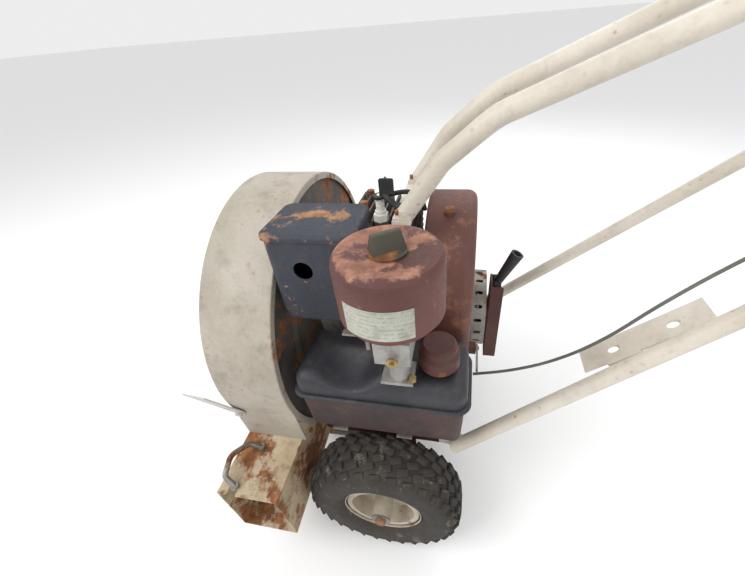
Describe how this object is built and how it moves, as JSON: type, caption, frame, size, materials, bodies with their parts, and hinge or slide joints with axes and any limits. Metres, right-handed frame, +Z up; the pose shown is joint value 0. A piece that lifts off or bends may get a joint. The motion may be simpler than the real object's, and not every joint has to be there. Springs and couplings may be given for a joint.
{
  "type": "single stage snowblower",
  "caption": "Walk-behind single stage snow thrower: paddle rotor on the crankshaft inside a round drum that turns by hand with its side spout, petrol engine, pneumatic wheels, tube handle.",
  "frame": {"origin": "on the ground face of the centre shoe, midway between the wheels and 5 mm ahead of the axle's line", "axes": "+Z up, -Y forward (the open intake faces -Y), +X to the machine's left"},
  "size_m": [0.588, 1.2878, 1.048],
  "materials": {
    "rusty_steel": "worn beige-grey paint with rust",
    "rust_red_paint": "faded maroon-red paint, rusting",
    "dark_paint": "dark blue-black paint, scuffed",
    "bare_steel": "dull, lightly rusted",
    "cast_iron": "grey-brown, oily",
    "cast_aluminium": "dull die-cast",
    "handle_steel": "grey worn tube",
    "brass": "tarnished",
    "tyre": "dusty rubber",
    "rubber": "matt",
    "black_plastic": "matt",
    "olive_knob": "dark olive, worn",
    "paper": "pleated",
    "ceramic": "glazed",
    "rim_paint": "cream paint, stained",
    "shaft_steel": "ground"
  },
  "bodies": {
    "chassis": {"drum_collar": "cast_aluminium", "collar_retainer": "bare_steel", "crankcase": "cast_aluminium", "main_bearings": "brass", "cylinder": "cast_aluminium", "cylinder_head": "cast_aluminium", "head_bolts": "bare_steel", "spark_plug": "ceramic", "ignition_lead": "rubber", "blower_housing": "rust_red_paint", "shroud_backplate": "rust_red_paint", "starter_housing": "bare_steel", "engine_base": "rust_red_paint", "skid_frame": "bare_steel", "axle": "shaft_steel", "axle_pins": "bare_steel", "muffler_body": "dark_paint", "muffler_lid": "dark_paint", "exhaust_pipe": "bare_steel", "carburettor": "cast_aluminium", "mixture_needle": "brass", "intake_pipe": "cast_aluminium", "air_cleaner_bowl": "rust_red_paint", "air_cleaner_cover": "rust_red_paint", "filter_element": "paper", "fuel_tank": "dark_paint", "tank_brackets": "bare_steel", "head_bracket": "bare_steel", "handlebar_left": "handle_steel", "handlebar_right": "handle_steel", "lower_tube_left": "handle_steel", "lower_tube_right": "handle_steel", "handle_grips": "rubber", "throttle_cable": "rubber", "bracket_plate": "handle_steel", "chassis_bolts": "bare_steel"},
    "drum": {"drum_shell": "rusty_steel", "drum_back_plate": "rusty_steel", "drum_bearing_ring": "cast_iron", "spout": "rusty_steel", "spout_handle": "bare_steel", "drum_bolts": "bare_steel", "drift_cutter": "bare_steel"},
    "rotor": {"crankshaft": "shaft_steel", "impeller": "bare_steel", "impeller_nut": "bare_steel", "flywheel": "cast_aluminium", "starter_cup": "bare_steel"},
    "starter_arm": {"starter_arm": "rust_red_paint"},
    "starter_grip": {"starter_grip": "black_plastic"},
    "left_wheel": {"tyre_left": "tyre", "rim_left": "rim_paint"},
    "right_wheel": {"tyre_right": "tyre", "rim_right": "rim_paint"},
    "fuel_cap": {"fuel_cap": "rust_red_paint"},
    "air_cleaner_knob": {"air_cleaner_knob": "olive_knob"},
    "throttle_lever": {"throttle_lever": "bare_steel"},
    "governor_lever": {"governor_lever": "bare_steel"},
    "choke_lever": {"choke_lever": "bare_steel"},
    "stop_tab": {"stop_tab": "bare_steel"}
  },
  "joints": [
    {"name": "drum_turn", "type": "hinge", "parent": "chassis", "child": "drum", "pos_m": [-0.03, -0.145, 0.382], "axis": [0, -1, 0], "range_deg": [0, 180]},
    {"name": "rotor_spin", "type": "hinge", "parent": "chassis", "child": "rotor", "pos_m": [-0.03, 0, 0.382], "axis": [0, -1, 0], "continuous": true},
    {"name": "starter_wind", "type": "hinge", "parent": "chassis", "child": "starter_arm", "pos_m": [-0.03, 0.175, 0.382], "axis": [0, 1, 0], "continuous": true},
    {"name": "starter_grip_fold", "type": "hinge", "parent": "starter_arm", "child": "starter_grip", "pos_m": [-0.03, 0.181, 0.44], "axis": [1, 0, 0], "range_deg": [-140, 0]},
    {"name": "left_wheel_roll", "type": "hinge", "parent": "chassis", "child": "left_wheel", "pos_m": [0.223, 0.005, 0.1377], "axis": [1, 0, 0], "continuous": true},
    {"name": "right_wheel_roll", "type": "hinge", "parent": "chassis", "child": "right_wheel", "pos_m": [-0.223, 0.005, 0.1377], "axis": [1, 0, 0], "continuous": true},
    {"name": "fuel_cap_turn", "type": "hinge", "parent": "chassis", "child": "fuel_cap", "pos_m": [0.17, 0.096, 0.465], "axis": [0, 0, 1], "range_deg": [0, 90]},
    {"name": "air_cleaner_knob_turn", "type": "hinge", "parent": "chassis", "child": "air_cleaner_knob", "pos_m": [0.207, 0.047, 0.655], "axis": [0, 0, 1], "continuous": true},
    {"name": "throttle_lever_turn", "type": "hinge", "parent": "chassis", "child": "throttle_lever", "pos_m": [0.106, 0.84, 1.036], "axis": [0, 0, 1], "range_deg": [0, 50]},
    {"name": "governor_lever_turn", "type": "hinge", "parent": "chassis", "child": "governor_lever", "pos_m": [0.068, 0.15, 0.372], "axis": [0, 1, 0], "range_deg": [0, 25]},
    {"name": "choke_lever_turn", "type": "hinge", "parent": "chassis", "child": "choke_lever", "pos_m": [0.223, 0.017, 0.544], "axis": [0, 0, 1], "range_deg": [0, 70]},
    {"name": "stop_tab_press", "type": "hinge", "parent": "chassis", "child": "stop_tab", "pos_m": [0.031, 0.024, 0.6144], "axis": [1, 0, 0], "range_deg": [0, 9], "stiffness_Nm_per_rad": 0.6}
  ],
  "couplings": [
    {"joint": "governor_lever_turn", "follows": "throttle_lever_turn", "ratio": 0.5}
  ]
}
